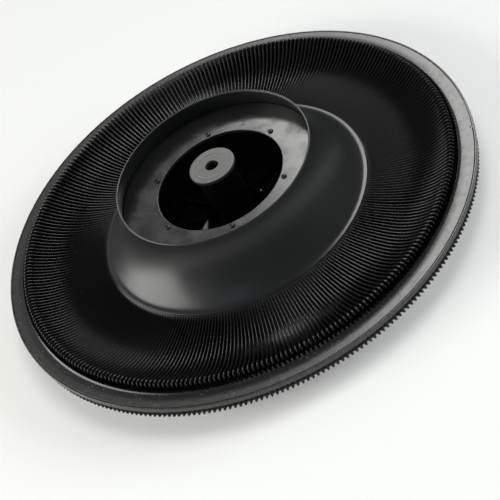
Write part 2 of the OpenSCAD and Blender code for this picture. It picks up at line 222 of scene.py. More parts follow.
dividerFinish = mouldedFinish("dividerPlastic", {
    "colour": rgb(0.006, 0.006, 0.0065), "roughness": 0.20, "ior": 1.45,
    "smear": 0.05, "smearSize": 0.02, "grain": 0.0006, "grainDepth": 0.000008,
    "dust": 0.08, "speckSize": 0.0012, "speckFrom": 0.82,
    "tracks": 300, "trackDepth": 0.02,
})
bellFinish = mouldedFinish("bellPlastic", {
    "colour": rgb(0.009, 0.010, 0.010), "roughness": 0.30,
    "smear": 0.04, "smearSize": 0.05, "grain": 0.0004, "grainDepth": 0.000004,
    "dust": 0.06, "speckSize": 0.0016, "speckFrom": 0.82,
    "tracks": 150, "trackDepth": 0.02,
})
flangeFinish = mouldedFinish("flangePlastic", {
    "colour": rgb(0.010, 0.010, 0.010), "roughness": 0.22,
    "film": rgb(0.027, 0.027, 0.026), "filmFrom": 181 * mm,
    "smear": 0.06, "smearSize": 0.007, "grain": 0.0005, "grainDepth": 0.000010,
    "dust": 0.35, "speckSize": 0.0014, "speckFrom": 0.78,
    "tracks": 900, "trackDepth": 0.05,
})
# The teeth get a darker, less reflective copy of the flange plastic. This is painted shade for the
# teeth down under the rim.
teethShadeFinish = mouldedFinish("teethShadedPlastic", {
    "colour": rgb(0.006, 0.006, 0.007), "roughness": 0.42, "ior": 1.3,
    "smear": 0.10, "smearSize": 0.004, "grain": 0.0005, "grainDepth": 0.000010,
    "dust": 0.2, "speckSize": 0.0014, "speckFrom": 0.80,
    "tracks": 900, "trackDepth": 0.05,
})
indexFinish = mouldedFinish("indexPlastic", {
    "colour": rgb(0.011, 0.011, 0.011), "roughness": 0.16,
    "smear": 0.11, "smearSize": 0.016, "grain": 0.0006, "grainDepth": 0.000004,
    "dust": 0.03, "speckSize": 0.0012, "speckFrom": 0.86,
    "tracks": 400, "trackDepth": 0.03,
})
# A near-black, dull copy of the black plastic for the parts down in the well. This is painted
# shade, so the well shows black.
wellShadeFinish = mouldedFinish("wellShadedPlastic", {
    "colour": rgb(0.002, 0.002, 0.002), "roughness": 0.7, "ior": 1.1,
    "smear": 0.08, "smearSize": 0.010, "grain": 0.0005, "grainDepth": 0.00002,
    "dust": 0.1, "speckSize": 0.0012, "speckFrom": 0.80,
    "tracks": 300, "trackDepth": 0.03,
})

lathe = {   # what the turned finishes share
    "ringTurn": 0.3, "ringFrom": 0.35, "ringTo": 0.65,
    "stainFrom": 0.45, "stainTo": 0.75, "stainShade": 0.5, "darkSpan": 0.4 * mm,
}


def turnedFinish(name, look):   # rings left by a lathe, or by a mould that was turned
    d = lathe
    material, graph, where = newFinish(name)
    radius, angle = graph.polar(where)
    bent = [radius / look["pitch"], angle * d["ringTurn"], 0]
    rings = graph.noise(graph.node("ShaderNodeCombineXYZ", {}, bent), size=1, detail=3)
    stains = graph.noise(where, look["stainSize"], detail=3)
    stains = graph.step(stains, d["stainFrom"], d["stainTo"])
    tone = graph.step(rings, d["ringFrom"], d["ringTo"]) * (1 - stains * d["stainShade"])
    colour = graph.mix(tone, look["dark"], look["light"])
    if "darkBelow" in look:   # only the top face keeps the turned tone; the faces below it are darker
        low = look["darkBelow"]
        topShare = graph.step(graph.parts(where)[2], low, low + d["darkSpan"])
        colour = graph.mix(topShare, look["sideColour"], colour)
    graph.surface({
        "Base Color": colour,
        "Metallic": look["metallic"],
        "Roughness": rings * look["roughSpread"] + look["roughness"],
        "Normal": graph.bump(rings, look["depth"]),
    })
    return material


capFinish = turnedFinish("turnedCap", {
    "dark": rgb(0.068, 0.070, 0.066), "light": rgb(0.118, 0.120, 0.114), "metallic": 0.0,
    "roughness": 0.36, "roughSpread": 0.15, "pitch": 0.0007, "depth": 0.00002,
    "stainSize": 0.006, "darkBelow": capZ - 0.9 * mm, "sideColour": rgb(0.018, 0.018, 0.018),
})
steelFinish = turnedFinish("groundSteel", {
    "dark": rgb(0.42, 0.42, 0.43), "light": rgb(0.60, 0.60, 0.61), "metallic": 1.0,
    "roughness": 0.24, "roughSpread": 0.15, "pitch": 0.0005, "depth": 0.000008,
    "stainSize": 0.012,
})
bronzeFinish = turnedFinish("sinteredBronze", {
    "dark": rgb(0.30, 0.19, 0.09), "light": rgb(0.48, 0.33, 0.17), "metallic": 1.0,
    "roughness": 0.36, "roughSpread": 0.2, "pitch": 0.0006, "depth": 0.00001,
    "stainSize": 0.005,
})

paint = {   # what the painted finishes share
    "grainRough": 0.6, "roughSpread": 0.2, "wornSize": 0.012, "wornFrom": 0.62, "wornTo": 0.72,
}


def paintedFinish(name, look):   # textured paint with worn, lighter patches
    d = paint
    material, graph, where = newFinish(name)
    grain = graph.noise(where, look["grain"], detail=4, rough=d["grainRough"])
    worn = graph.noise(where, d["wornSize"], detail=4)
    worn = graph.step(worn, d["wornFrom"], d["wornTo"])
    graph.surface({
        "Base Color": graph.mix(worn * look["wear"], look["colour"], look["under"]),
        "Roughness": grain * d["roughSpread"] + look["roughness"],
        "Normal": graph.bump(grain, look["depth"]),
    })
    return material


baseFinish = paintedFinish("basePaint", {
    "colour": rgb(0.18, 0.18, 0.18), "under": rgb(0.32, 0.32, 0.32), "wear": 0.5,
    "roughness": 0.42, "grain": 0.0009, "depth": 0.00004,
})
blackSteelFinish = paintedFinish("blackenedSteel", {
    "colour": rgb(0.012, 0.012, 0.012), "under": rgb(0.06, 0.06, 0.06), "wear": 0.5,
    "roughness": 0.22, "grain": 0.0005, "depth": 0.00001,
})
print("stage: finishes made")


def arc(cx, cz, radius, start, end, steps):   # points of an arc, angles in degrees
    turn = np.radians(np.linspace(start, end, steps + 1))
    return [(cx + radius * math.cos(a), cz + radius * math.sin(a)) for a in turn]


def curve(p0, p1, p2, steps):   # a soft bend from p0 to p2 that leaves both ends towards p1
    p0, p1, p2 = np.array(p0), np.array(p1), np.array(p2)
    return [tuple(p0 * (1 - t) ** 2 + 2 * p1 * t * (1 - t) + p2 * t * t)
            for t in np.linspace(0, 1, steps + 1)]


# Rounds the (r, z, radius) corners of an outline. A guard point on each side of an arc, that share
# of the radius away from it, keeps the shading of the flats flat.
def rounded(corners, steps=4, guard=0.4):
    points = []
    for i, (x, z, radius) in enumerate(corners):
        here = np.array((x, z))
        back = np.array(corners[i - 1][:2]) - here
        ahead = np.array(corners[(i + 1) % len(corners)][:2]) - here
        back, ahead = back / np.linalg.norm(back), ahead / np.linalg.norm(ahead)
        if not radius:
            points.append(tuple(here))
            continue
        half = math.acos(np.clip(back @ ahead, -1, 1)) / 2
        run = radius / math.tan(half)
        middle = (back + ahead) / np.linalg.norm(back + ahead)
        centre = here + middle * radius / math.sin(half)
        first, last = here + back * run - centre, here + ahead * run - centre
        points.append(tuple(here + back * (run + radius * guard)))
        for k in range(steps + 1):
            share = k / steps * math.pi / 2
            way = first * math.cos(share) + last * math.sin(share)
            points.append(tuple(centre + way / np.linalg.norm(way) * radius))
        points.append(tuple(here + ahead * (run + radius * guard)))
    return points


def skin(count, n, closed):   # faces over count rings of n points; the open form is capped
    faces = []
    for i in range(count if closed else count - 1):
        a, b = i * n, (i + 1) % count * n
        faces += [(a + k, b + k, b + (k + 1) % n, a + (k + 1) % n) for k in range(n)]
    if not closed:
        faces += [tuple(range(n)), tuple((count - 1) * n + k for k in reversed(range(n)))]
    return faces


def fullTurn(step=0.5):
    return np.arange(0, 360, step)


def revolve(outline, turns, closed=True):   # an (r, z) outline turned through the given angles
    r, z = np.array(outline).T
    turn = np.radians(np.asarray(turns))
    x, y = np.outer(np.cos(turn), r), np.outer(np.sin(turn), r)
    points = np.stack([x, y, np.tile(z, (len(turn), 1))], -1)
    return points.reshape(-1, 3), skin(len(turn), len(outline), closed)


def loft(rings):   # closed rings of points, joined in order and capped at both ends
    rings = np.asarray(rings)
    return rings.reshape(-1, 3), skin(rings.shape[0], rings.shape[1], False)


def slab(outline, half):   # an (r, z) outline at angle 0, drawn out by half to each side
    return loft([[(r, side * half, z) for r, z in outline] for side in (1, -1)])


def turned(shell, angle, x=0, y=0, z=0):   # a shell moved by x, y and z, then turned about Z
    points, faces = shell
    points = np.asarray(points) + (x, y, z)
    c, s = math.cos(math.radians(angle)), math.sin(math.radians(angle))
    return points @ np.array([[c, s, 0], [-s, c, 0], [0, 0, 1]]), faces


def piece(name, shells, finish, body=turntable, replaces=(), sharp=45):
    points, faces, base = [], [], 0
    for shellPoints, shellFaces in shells:
        points.append(shellPoints)
        faces += [tuple(base + i for i in face) for face in shellFaces]
        base += len(shellPoints)
    mesh = bpy.data.meshes.new(name)
    mesh.from_pydata(np.vstack(points).tolist(), [], faces)
    mesh.polygons.foreach_set("use_smooth", [True] * len(faces))
    mesh.set_sharp_from_angle(angle=math.radians(sharp))
    mesh.materials.append(finish)
    thing = bpy.data.objects.new(name, mesh)
    scene.collection.objects.link(thing)
    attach(thing, body)
    if replaces:
        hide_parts(*replaces)
    return thing


def carve(thing, shells):   # cuts shells out of a piece's mesh
    cutter = piece(thing.name + "_cut", shells, thing.data.materials[0])
    cut = thing.modifiers.new("carve", "BOOLEAN")
    cut.operation, cut.object, cut.solver = "DIFFERENCE", cutter, "EXACT"
    bpy.context.view_layer.update()
    graph = bpy.context.evaluated_depsgraph_get()
    thing.data = bpy.data.meshes.new_from_object(thing.evaluated_get(graph))
    thing.modifiers.clear()
    bpy.data.objects.remove(cutter)


dividers = {   # angles in degrees
    "sectors": 6, "perSector": 50, "firstSeam": 20.4, "halfJoint": 0.02,
    "bodySteps": 120, "underPoints": 24, "floorPoints": 26,
    "slotWidth": 1.5 * mm, "discArc": 60.6 * mm, "floorDepth": 10.1 * mm, "width": 68.6 * mm,
    "floorThickness": 2 * mm, "floorOverlap": 0.25 * mm, "footGap": 0.3 * mm,
    # the outer wall, its top's drop under the bead, and the dividers' ends that stand in it
    "wall": 2 * mm, "dropOutside": 0.3 * mm, "dropInside": 0.1 * mm,
    "endShare": 1.3, "endRise": 0.3 * mm, "endDrop": mm,
    "valleyRun": 29.8 * mm, "valleyDepth": 3.3 * mm, "valleyArc": 62 * mm,
    "earRun": 4.3 * mm, "earPower": 0.45, "earRise": 0.3 * mm, "earBlend": 1.6 * mm,
    "earSink": mm, "earFrom": 6, "earTo": 84, "earPoints": 13,
    # the top line's points, spread wide up to so far before the ear and close from there on
    "wideEnd": 5 * mm, "widePoints": 22, "closeStart": 4 * mm, "closePoints": 7,
    "draft": 0.60, "crown": 0.9, "crownPoints": 7, "leastCrown": 0.05 * mm,
    "guard": 1.5, "leastGuard": 0.06 * mm,   # points under the crown keep the sides flat
    "innerR": 95.7 * mm, "edgeThickness": 3 * mm,
    "tongueR": 184.0 * mm, "tongueThickness": 2.5 * mm,
    "ribs": 6, "ribWidth": 1.8 * mm, "ribDepth": 14 * mm, "ribDrop": mm, "ribPoints": 20,
    # dividers that stand lower, by angle, and how the drop fades out at both ends
    "low": {139.8: 0.45 * mm, 319.8: 0.45 * mm, 185.4: 0.4 * mm},
    "lowStart": 6 * mm, "lowFade": 12 * mm, "lowEnd": 9 * mm,
}
pitch = 360 / dividers["sectors"] / dividers["perSector"]
# centre of a disc that stands in a slot
discZ = footZ + dividers["discArc"] - dividers["floorDepth"]
discX = footR + math.sqrt(dividers["discArc"] ** 2 - (discZ - footZ) ** 2)
wallR = footR + dividers["width"]
valleyX = footR + dividers["valleyRun"]
valleyZ = footZ - dividers["valleyDepth"]
edgeLowZ = footLowZ - dividers["edgeThickness"]


def onDisc(radius, x):   # height of a circle about the disc's centre, at x
    return discZ - math.sqrt(radius ** 2 - (x - discX) ** 2)


def softMin(a, b, width):
    h = max(width - abs(a - b), 0) / width
    return min(a, b) - h * h * width / 4


def dividerTop():   # from the bell's foot over the valley and the ear, down the outer wall
    d = dividers
    innerArc = (d["valleyRun"] ** 2 + d["valleyDepth"] ** 2) / (2 * d["valleyDepth"])
    earX, earTopZ = wallR - d["earRun"], earZ + d["earRise"]
    wide = np.linspace(footR + d["footGap"], earX - d["wideEnd"], d["widePoints"])
    close = np.linspace(earX - d["closeStart"], earX, d["closePoints"])
    line = []
    for x in np.concatenate([wide, close]):
        bend = innerArc if x < valleyX else d["valleyArc"]
        height = valleyZ + bend - math.sqrt(bend ** 2 - (x - valleyX) ** 2)
        line.append((x, softMin(height, earTopZ, d["earBlend"])))
    low = onDisc(d["discArc"], wallR)
    # the ear's outer face, full at its upper corner
    for t in np.radians(np.linspace(d["earFrom"], d["earTo"], d["earPoints"])):
        down = (earTopZ - low + d["earSink"]) * math.cos(t) ** d["earPower"]
        out = d["earRun"] * math.sin(t) ** d["earPower"]
        line.append((earX + out, low - d["earSink"] + down))
    return line + [(wallR, low)]


def divider(line, lower):   # one divider at angle 0: a plate with a crowned top
    d = dividers
    line = np.array(line)
    along = np.gradient(line, axis=0)
    along /= np.linalg.norm(along, axis=1)[:, None]
    inward = np.stack([along[:, 1], -along[:, 0]], 1)
    centre = np.array((discX, discZ))
    rings = []
    for (x, z), away in zip(line, inward):
        fade = min(1, max(0, (wallR - d["lowEnd"] - x) / d["lowFade"]))
        top = np.array((x, z)) + away * (lower * fade * min(1, (x - footR) / d["lowStart"]))
        out = top - centre
        depth = d["discArc"] - np.linalg.norm(out)
        base = (math.radians(pitch) * x - d["slotWidth"]) / 2
        half = base * d["draft"]
        crown = min(half * d["crown"], max(depth, d["leastCrown"]))
        guard = top + away * min(crown * d["guard"], max(depth, d["leastGuard"]))
        floor = centre + out / np.linalg.norm(out) * (d["discArc"] + d["floorOverlap"])
        ring = [(floor[0], -base, floor[1]), (guard[0], -half, guard[1])]
        for a in np.radians(np.linspace(-90, 90, d["crownPoints"])):
            p = top + away * crown * (1 - math.cos(a))
            ring.append((p[0], half * math.sin(a), p[1]))
        rings.append(ring + [(guard[0], half, guard[1]), (floor[0], base, floor[1])])
    return loft(rings)


def sectorBody():   # floor, outer wall, inner edge and tongue
    d = dividers
    outer = d["discArc"] + d["floorThickness"]
    wallIn = wallR - d["wall"]
    tongueLowZ = flangeLowZ - d["tongueThickness"]
    startX = discX - math.sqrt(outer ** 2 - (discZ - edgeLowZ) ** 2)
    firstX = footR + d["footGap"]
    under = [(x, onDisc(outer, x)) for x in np.linspace(startX, wallIn, d["underPoints"])]
    floor = [(x, onDisc(d["discArc"], x))
             for x in np.linspace(wallIn, firstX, d["floorPoints"])]
    tongue = [(wallIn, tongueLowZ), (d["tongueR"], tongueLowZ),
              (d["tongueR"], flangeLowZ), (wallR, flangeLowZ)]
    wallTop = [(wallR, beadTopZ - d["dropOutside"]), (wallIn, beadTopZ - d["dropInside"])]
    edge = [(firstX, footLowZ), (d["innerR"], footLowZ)]
    return [(d["innerR"], edgeLowZ)] + under + tongue + wallTop + floor + edge


def wallEnd():   # the part of a divider that stands in the outer wall, at angle 0
    d = dividers
    half = d["draft"] * (math.radians(pitch) * wallR - d["slotWidth"]) / 2
    inner, low = wallR - d["wall"] * d["endShare"], rimZ - d["endDrop"]
    high = onDisc(d["discArc"], wallR) + d["endRise"]
    return slab([(inner, low), (wallR, low), (wallR, high), (inner, high)], half)


def sectorRib():   # a plate under the floor, at angle 0
    d = dividers
    low, lastX = footZ - d["ribDepth"], wallR - d["wall"] / 2
    middle = d["discArc"] + d["floorThickness"] / 2
    top = [(x, min(onDisc(middle, x), footLowZ - d["ribDrop"]))
           for x in np.linspace(lastX, footR, d["ribPoints"])]
    return slab([(footR, low), (lastX, low)] + top, d["ribWidth"] / 2)


def makeDividers():
    d = dividers
    line, body, rib, end = dividerTop(), sectorBody(), sectorRib(), wallEnd()
    plain = divider(line, 0)
    span = 360 / d["sectors"]
    for i in range(d["sectors"]):
        start = d["firstSeam"] + i * span
        turns = np.linspace(start + d["halfJoint"], start + span - d["halfJoint"],
                            d["bodySteps"] + 1)
        shells = [revolve(body, turns, closed=False)]
        for k in range(d["ribs"]):
            shells.append(turned(rib, start + (k + 0.5) * span / d["ribs"]))
        for k in range(d["perSector"]):
            angle = round((start + (k + 0.5) * pitch) % 360, 3)
            one = divider(line, d["low"][angle]) if angle in d["low"] else plain
            shells += [turned(one, angle), turned(end, angle)]
        name = f"slot_sector_{i + 1}"
        piece(f"dividers_{i + 1}", shells, dividerFinish, replaces=[name])


makeDividers()
print("stage: dividers made")

rim = {   # flange and gear ring
    "innerR": 175.5 * mm, "edge": 0.3 * mm, "grooveR": 189.0 * mm,
    # the rolled bead, its steep outer face, and the soft slope that runs up to it
    "beadR": 1.2 * mm, "beadRise": 0.35 * mm, "beadFace": 40, "beadStep": 0.50 * mm,
    "beadSteps": 10, "beadGuard": 4, "faceGuard": 0.05,
    "bendRun": 6.7 * mm, "bendSteps": 8, "slope": 14, "flatGuard": 0.3 * mm,
    "keyAngle": 163, "keyWidth": 2.4 * mm, "keyIn": 1.6 * mm, "keyGap": 0.2 * mm,
    "keyOverlap": 0.3 * mm, "keyDrop": 0.3 * mm, "keyEdge": 0.3 * mm, "keySide": 0.01,
    "lipUnder": 3.8 * mm, "lipEdge": 0.4 * mm, "ringEdge": 0.2 * mm, "ringStep": 0.4,
    "gearWall": 2 * mm, "rootOverlap": 0.4 * mm,
    "teeth": 300, "rootR": 186.2 * mm, "tipR": 189.0 * mm, "tipShare": 0.22, "rootShare": 0.72,
    "cornerShare": 0.03, "cornerHeight": 0.88, "tipHeight": 0.97,
    "toothIn": mm, "toothUp": 0.1 * mm,
    # the teeth's lower edge: rise, inset and share of the tooth's height
    "chamfer": ((0.35 * mm, 0, 1), (0.1 * mm, 0.3 * mm, 0.88), (0, 0.5 * mm, 0.8)),
    "gearInR": 176.3 * mm, "seatZ": 23.3 * mm, "plate": 3 * mm, "plateInset": 0.5 * mm,
    "plateEdge": 0.3 * mm, "seatEdge": 0.2 * mm,
    "screws": 12, "screwR": 180.15 * mm, "boreR": 2.5 * mm, "boreDepth": 1.3 * mm,
    "holeR": 1.4 * mm, "axisR": 0.01 * mm, "beyond": mm, "boreStep": 15,
}


def makeFlange():
    d = rim
    beadX, beadZ = d["innerR"] + d["beadR"], beadTopZ + d["beadRise"] - d["beadR"]
    join, rise = math.radians(d["beadFace"]), math.radians(d["slope"])
    faceTop = np.array((beadX + d["beadR"] * math.cos(join),
                        beadZ + d["beadR"] * math.sin(join)))
    faceLow = faceTop + d["beadStep"] * np.array((math.sin(join), -math.cos(join)))
    flatEnd = (beadX + d["beadR"] + d["bendRun"], rimZ)
    corner = (faceLow[0] + (faceLow[1] - rimZ) / math.tan(rise), rimZ)
    outline = [(d["innerR"], flangeLowZ)]
    outline += rounded([(d["innerR"], flangeLowZ, 0), (flangeR, flangeLowZ, 0),
                        (flangeR, rimZ, d["edge"]), (d["innerR"], rimZ, 0)])[1:-1]
    outline += [(flatEnd[0] + d["flatGuard"], rimZ)]
    outline += curve(flatEnd, corner, faceLow, d["bendSteps"])
    outline += [tuple(faceTop * (1 - d["faceGuard"]) + faceLow * d["faceGuard"])]
    outline += arc(beadX, beadZ, d["beadR"], d["beadFace"] + d["beadGuard"], 180,
                   d["beadSteps"])
    half = math.degrees(d["keyWidth"] / 2 / flangeR)
    sides = [d["keyAngle"] + k for k in (-half - d["keySide"], -half, half, half + d["keySide"])]
    points, faces = revolve(outline, np.sort(np.concatenate([fullTurn(), sides])))
    angle = np.degrees(np.arctan2(points[:, 1], points[:, 0])) - d["keyAngle"]
    radius = np.hypot(points[:, 0], points[:, 1])
    inNotch = (abs(angle) < half + d["keySide"] / 2) & (radius > flangeR - d["keyIn"])
    points[inNotch, :2] *= ((flangeR - d["keyIn"]) / radius[inNotch])[:, None]
    piece("flange", [(points, faces)], flangeFinish, replaces=["rim_flange"])


def gearTeeth():   # rounded tips and chamfered lower edges, as one star-shaped ring
    d = rim
    step = 360 / d["teeth"]
    tip, root = d["tipShare"] / 2, d["rootShare"] / 2
    rise = [(root, 0), (tip + d["cornerShare"], d["cornerHeight"]), (tip, d["tipHeight"])]
    shape = [(-share, height) for share, height in rise] + [(0, 1)] + rise[::-1]
    turns, depth = [], []
    for k in range(d["teeth"]):
        for share, height in shape:
            turns.append(math.radians(dividers["firstSeam"] + (k + share) * step))
            depth.append(height)
    turns, depth = np.array(turns), np.array(depth)
    rootR, high = d["rootR"], d["tipR"] - d["rootR"]
    topZ = rimZ - d["lipUnder"] + d["toothUp"]
    levels = [(topZ, d["toothIn"], 0), (topZ, 0, 1)]
    levels += [(gearLowZ + lift, inset, share) for lift, inset, share in d["chamfer"]]
    levels += [(gearLowZ, d["toothIn"], 0)]
    points, n = [], len(turns)
    for z, inset, share in levels:
        r = rootR - inset + depth * high * share
        points.append(np.stack([r * np.cos(turns), r * np.sin(turns), np.full(n, z)], 1))
    faces = []
    for i in range(len(levels)):
        a, b = i * n, (i + 1) % len(levels) * n
        faces += [(b + k, b + (k + 1) % n, a + (k + 1) % n, a + k) for k in range(n)]
    return np.vstack(points), faces


def makeGearRing():
    d = rim
    lipLowZ = rimZ - d["lipUnder"]
    innerR, outerR = d["rootR"] - d["gearWall"], d["rootR"] - d["rootOverlap"]
    body = rounded([
        (innerR, gearLowZ, d["ringEdge"]), (outerR, gearLowZ, 0), (outerR, lipLowZ, 0),
        (lipR, lipLowZ, d["lipEdge"]), (lipR, rimZ, d["lipEdge"]),
        (d["grooveR"], rimZ, d["ringEdge"]), (d["grooveR"], flangeLowZ, 0),
        (innerR, flangeLowZ, 0),
    ])
    keyR, rootX = flangeR - d["keyIn"] + d["keyGap"], d["grooveR"] + d["keyOverlap"]
    key = rounded([
        (keyR, flangeLowZ, 0), (rootX, flangeLowZ, 0), (rootX, rimZ - d["keyDrop"], 0),
        (keyR, rimZ - d["keyDrop"], d["keyEdge"]),
    ])
    shells = [revolve(body, fullTurn(d["ringStep"])),
              turned(slab(key, d["keyWidth"] / 2 - d["keyGap"]), d["keyAngle"])]
    piece("gear_rim", shells, flangeFinish, replaces=["gear_ring"], sharp=50)
    piece("gear_teeth", [gearTeeth()], teethShadeFinish, sharp=50)


def makeGearPlate():   # the gear ring's plate, bored for the screws that come up from below
    d = rim
    low, outerR = d["seatZ"] - d["plate"], d["rootR"] - d["plateInset"]
    outline = rounded([
        (d["gearInR"], low, d["plateEdge"]), (outerR, low, 0),
        (outerR, d["seatZ"], 0), (d["gearInR"], d["seatZ"], d["seatEdge"]),
    ])
    plate = piece("gear_plate", [revolve(outline, fullTurn())], flangeFinish)
    start, end, step = low - d["beyond"], d["seatZ"] + d["beyond"], low + d["boreDepth"]
    bore = revolve([
        (d["axisR"], start), (d["boreR"], start), (d["boreR"], step),
        (d["holeR"], step), (d["holeR"], end), (d["axisR"], end),
    ], fullTurn(d["boreStep"]))
    cuts = []
    for k in range(d["screws"]):
        a = math.radians(dividers["firstSeam"] + (k + 0.5) * 360 / d["screws"])
        cuts.append(turned(bore, 0, d["screwR"] * math.cos(a), d["screwR"] * math.sin(a)))
    carve(plate, cuts)


makeFlange()
makeGearRing()
makeGearPlate()
print("stage: rim made")

bell = {   # bell, collar and the ledge that the index ring lies on
    "flankArc": 62.2 * mm, "thickness": 1.8 * mm, "foot": 1.4 * mm, "fillet": 1.6 * mm,
    "ledgeWidth": 5 * mm, "ledgeThickness": 2 * mm, "ledgeEdge": 0.3 * mm,
    "ledgeOverlap": 0.4 * mm,
    "rollSteps": 8, "bendSteps": 6, "flankPoints": 48, "rimSteps": 10, "innerPoints": 40,
}


def makeBell():
    d = bell
    inner = d["flankArc"] + d["thickness"]
    roll, rimRound = d["foot"] / 2, d["thickness"] / 2
    footTopZ, rimLowZ = footLowZ + d["foot"], collarZ - rimRound

    def flank(radius, z):
        return discX - math.sqrt(radius ** 2 - (discZ - z) ** 2)

    startZ, cornerX = footTopZ + d["fillet"], flank(d["flankArc"], footTopZ)
    outline = [(flank(inner, footLowZ), footLowZ)]
    outline += arc(footR - roll, footLowZ + roll, roll, -90, 90, d["rollSteps"])
    outline += curve((cornerX + d["fillet"], footTopZ), (cornerX, footTopZ),
                     (flank(d["flankArc"], startZ), startZ), d["bendSteps"])
    heights = np.linspace(startZ, rimLowZ, d["flankPoints"])[1:]
    outline += [(flank(d["flankArc"], z), z) for z in heights]
    rimX = (flank(d["flankArc"], rimLowZ) + flank(inner, rimLowZ)) / 2
    outline += arc(rimX, rimLowZ, rimRound, 0, 180, d["rimSteps"])[1:]
    heights = np.linspace(rimLowZ, footLowZ, d["innerPoints"])[1:-1]
    outline += [(flank(inner, z), z) for z in heights]
    ledgeX, ledgeLowZ = indexR - d["ledgeWidth"], indexLowZ - d["ledgeThickness"]
    seat = flank(inner, indexLowZ) + d["ledgeOverlap"]
    ledge = rounded([
        (ledgeX, ledgeLowZ, d["ledgeEdge"]), (seat, ledgeLowZ, 0),
        (seat, indexLowZ, 0), (ledgeX, indexLowZ, d["ledgeEdge"]),
    ])
    shells = [revolve(outline, fullTurn()), revolve(ledge, fullTurn())]
    piece("bell", shells, bellFinish, replaces=["bell_cover"], sharp=60)


makeBell()
print("stage: bell made")

index = {   # the ring in the collar, its pointer, screws and raised number
    "wellR": 50.4 * mm, "edge": 0.35 * mm,
    "pointerAngle": 56.5, "pointerLength": 10 * mm, "pointerWidth": 5.6 * mm,
    "pointerEdge": 0.3 * mm, "pointerTip": 0.3 * mm, "tipSlant": 3, "pointerRoot": mm,
    "screws": 6, "screwR": 54.4 * mm, "headR": 2.2 * mm, "headHeight": 1.3 * mm,
    "headDome": 0.55, "headStep": 7.5,   # the rows are shares of the head's radius
    "headRows": (*np.linspace(0.02, 0.9, 14), 0.96, 1, 1),
    "crossWidth": 0.55 * mm, "crossLength": 1.2 * mm, "crossDepth": 0.5,
    "number": "2", "numberAngle": 230.3, "numberR": 57.7 * mm, "numberSize": 6.6 * mm,
    "numberHeight": 0.3 * mm, "numberBevel": 0.22 * mm, "bevelSteps": 3,
}


def makeIndexRing():
    d = index
    body = rounded([
        (d["wellR"], indexLowZ, 0), (indexR, indexLowZ, 0),
        (indexR, indexZ, d["edge"]), (d["wellR"], indexZ, d["edge"]),
    ])
    pointer, root, tip = [], d["wellR"] + d["pointerRoot"], d["pointerTip"]
    levels = (indexLowZ, 0), (indexZ - d["pointerEdge"], 0), (indexZ, d["pointerEdge"])
    for z, inset in levels:
        half = d["pointerWidth"] / 2 - inset
        end = d["wellR"] - d["pointerLength"] + inset * d["tipSlant"]
        pointer.append([(root, half, z), (end, tip, z), (end, -tip, z), (root, -half, z)])
    shells = [revolve(body, fullTurn()), turned(loft(pointer), d["pointerAngle"])]
    piece("index_plate", shells, indexFinish, replaces=["index_ring"], sharp=40)


def screwHead(d):   # a domed head with a cross recess, its underside at z = 0
    rings = []
    for i, share in enumerate(d["headRows"]):
        r = d["headR"] * share
        dome = d["headHeight"] * (1 - d["headDome"] * share ** 3)
        if i == len(d["headRows"]) - 1:   # the last row is the head's lower edge
            dome = 0
        ring = []
        for a in np.radians(fullTurn(d["headStep"])):
            x, y = r * math.cos(a), r * math.sin(a)
            across, along = min(abs(x), abs(y)), max(abs(x), abs(y))
            arm = across < d["crossWidth"] / 2 and along < d["crossLength"]
            ring.append((x, y, dome - (d["crossDepth"] * d["headHeight"] if arm else 0)))
        rings.append(ring)
    return loft(rings[::-1])


def makeIndexScrews():
    d = index
    head, shells = screwHead(d), []
    for k in range(d["screws"]):
        angle = dividers["firstSeam"] + k * 360 / d["screws"]
        shells.append(turned(head, angle, x=d["screwR"], z=indexZ))
    piece("index_screw_heads", shells, blackSteelFinish,
          replaces=["index_ring_screws"], sharp=35)


def makeNumber():
    d = index
    text = bpy.data.curves.new("positionNumber", "FONT")
    text.body, text.size, text.extrude = d["number"], d["numberSize"], d["numberHeight"] / 2
    text.align_x, text.align_y = "CENTER", "CENTER"
    text.bevel_depth, text.bevel_resolution = d["numberBevel"], d["bevelSteps"]
    text.offset = -d["numberBevel"] / 2
    holder = bpy.data.objects.new("numberText", text)
    scene.collection.objects.link(holder)
    bpy.context.view_layer.update()
    mesh = bpy.data.meshes.new_from_object(holder)
    bpy.data.objects.remove(holder)
    turn, r = math.radians(d["numberAngle"]), d["numberR"]
    place = Matrix.Translation((r * math.cos(turn), r * math.sin(turn), indexZ))
    mesh.transform(place @ Matrix.Rotation(turn - math.pi / 2, 4, "Z"))
    mesh.materials.clear()
    mesh.materials.append(indexFinish)
    thing = bpy.data.objects.new("position_number", mesh)
    scene.collection.objects.link(thing)
    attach(thing, turntable)


makeIndexRing()
makeIndexScrews()
makeNumber()
print("stage: index ring made")

cap = {   # the turned disc on the post
    "boreR": 5.1 * mm, "boreChamfer": 0.4 * mm, "chamferEdge": 0.1 * mm,
    "spigotR": 10.95 * mm, "thickness": 3 * mm, "edge": 0.6 * mm, "lowEdge": 0.2 * mm,
    "grooves": (8.2 * mm, 11.6 * mm, 15.4 * mm), "grooveWidth": 0.5 * mm,
    "grooveDepth": 0.12 * mm, "grooveEdge": 0.05 * mm,
}


def makeCap():
    d = cap
    seatZ, w, soft = capZ - d["thickness"], d["grooveWidth"] / 2, d["grooveEdge"]
    corners = [(d["boreR"], capLowZ, 0), (d["spigotR"], capLowZ, d["lowEdge"]),
               (d["spigotR"], seatZ, 0), (capR, seatZ, d["lowEdge"]), (capR, capZ, d["edge"])]
    for r in reversed(d["grooves"]):
        corners += [(r + w, capZ, soft), (r, capZ - d["grooveDepth"], soft), (r - w, capZ, soft)]
    corners += [(d["boreR"] + d["boreChamfer"], capZ, d["chamferEdge"]),
                (d["boreR"], capZ - d["boreChamfer"], d["chamferEdge"])]
    piece("cap_disc", [revolve(rounded(corners), fullTurn())], capFinish,
          replaces=["post_cap"], sharp=40)


makeCap()
print("stage: cap made")

